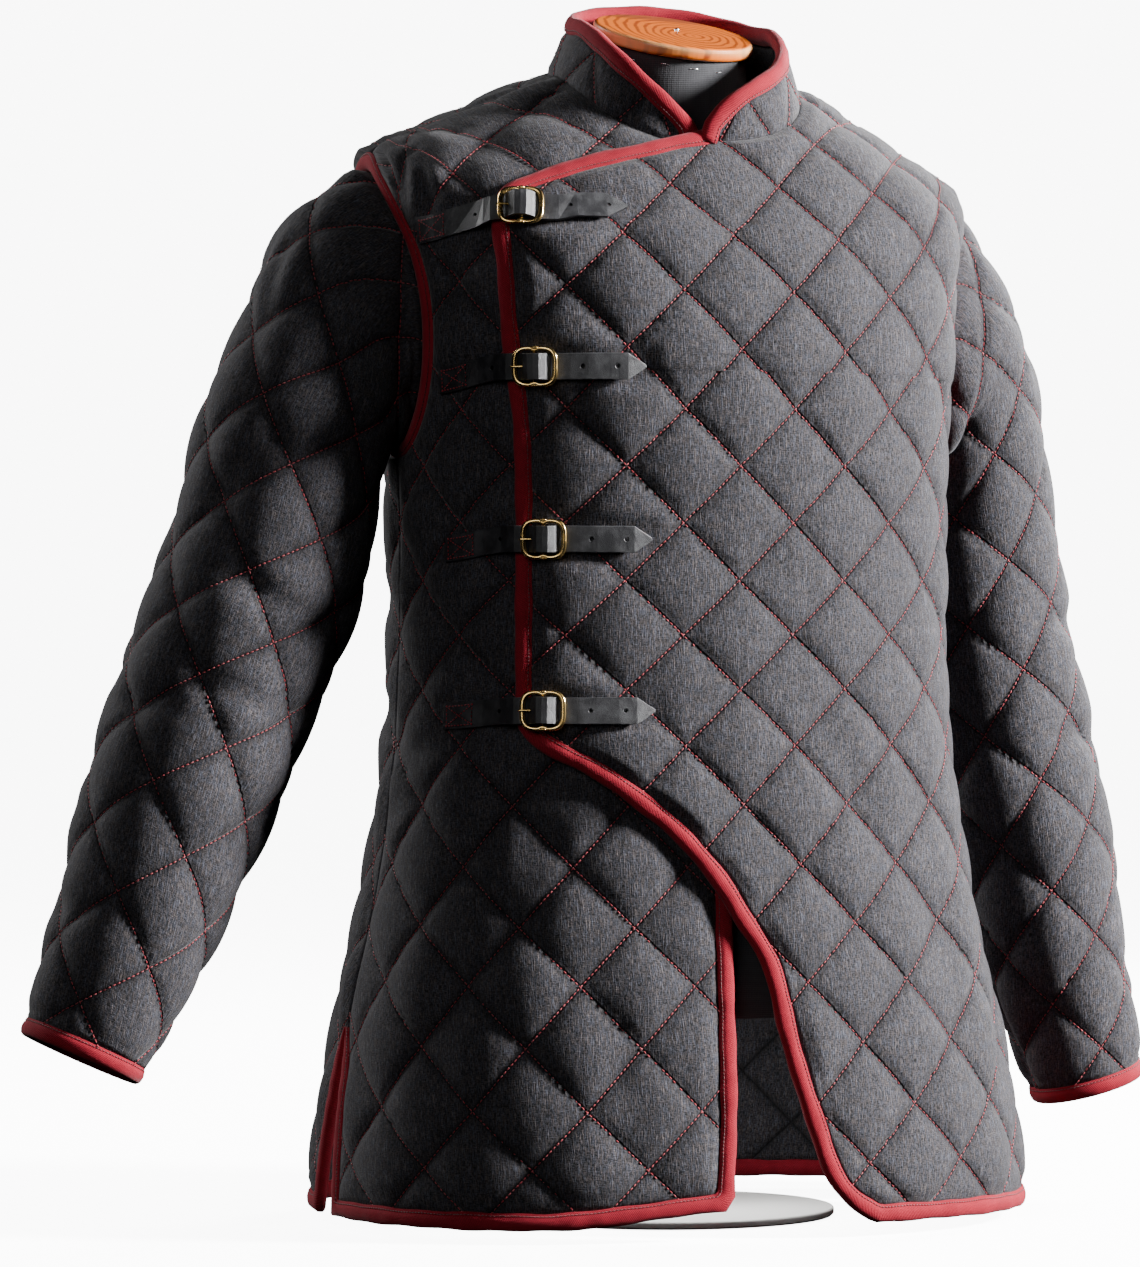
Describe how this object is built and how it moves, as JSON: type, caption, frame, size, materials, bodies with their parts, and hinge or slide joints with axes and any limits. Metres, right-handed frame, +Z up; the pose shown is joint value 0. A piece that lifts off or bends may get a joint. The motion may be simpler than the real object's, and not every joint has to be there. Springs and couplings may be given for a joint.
{
  "type": "gambeson on a dress form",
  "caption": "Quilted gambeson with bound edges and leather straps buckled across the chest, on a limbless dress form with a pine neck cap, a steel pole and a round foot plate.",
  "frame": {"origin": "centre of the foot plate's underside, below the pole", "axes": "+Z up; the front faces -Y; +X is the wearer's left"},
  "size_m": [0.8647, 0.3988, 0.867],
  "materials": {
    "quilted_linen": "matt linen, quilted in diamonds",
    "red_binding": "matt wool twill",
    "black_leather": "satin",
    "brass": "polished",
    "form_jersey": "matt stretch jersey",
    "pine": "satin varnish",
    "white_steel": "satin paint"
  },
  "bodies": {
    "root": {"back": "quilted_linen", "left_front": "quilted_linen", "right_front": "quilted_linen", "collar": "quilted_linen", "sleeve_left": "quilted_linen", "sleeve_right": "quilted_linen", "back_binding": "red_binding", "left_front_binding": "red_binding", "right_front_binding": "red_binding", "collar_binding": "red_binding", "armhole_binding_left": "red_binding", "armhole_binding_right": "red_binding", "cuff_binding_left": "red_binding", "cuff_binding_right": "red_binding", "strap_1": "black_leather", "strap_2": "black_leather", "strap_3": "black_leather", "strap_4": "black_leather", "chape_1": "black_leather", "chape_2": "black_leather", "chape_3": "black_leather", "chape_4": "black_leather", "buckle_1": "brass", "buckle_2": "brass", "buckle_3": "brass", "buckle_4": "brass", "prong_1": "brass", "prong_2": "brass", "prong_3": "brass", "prong_4": "brass", "form_torso": "form_jersey", "form_neck_cap": "pine", "form_pole": "white_steel", "form_base": "white_steel"}
  },
  "joints": []
}
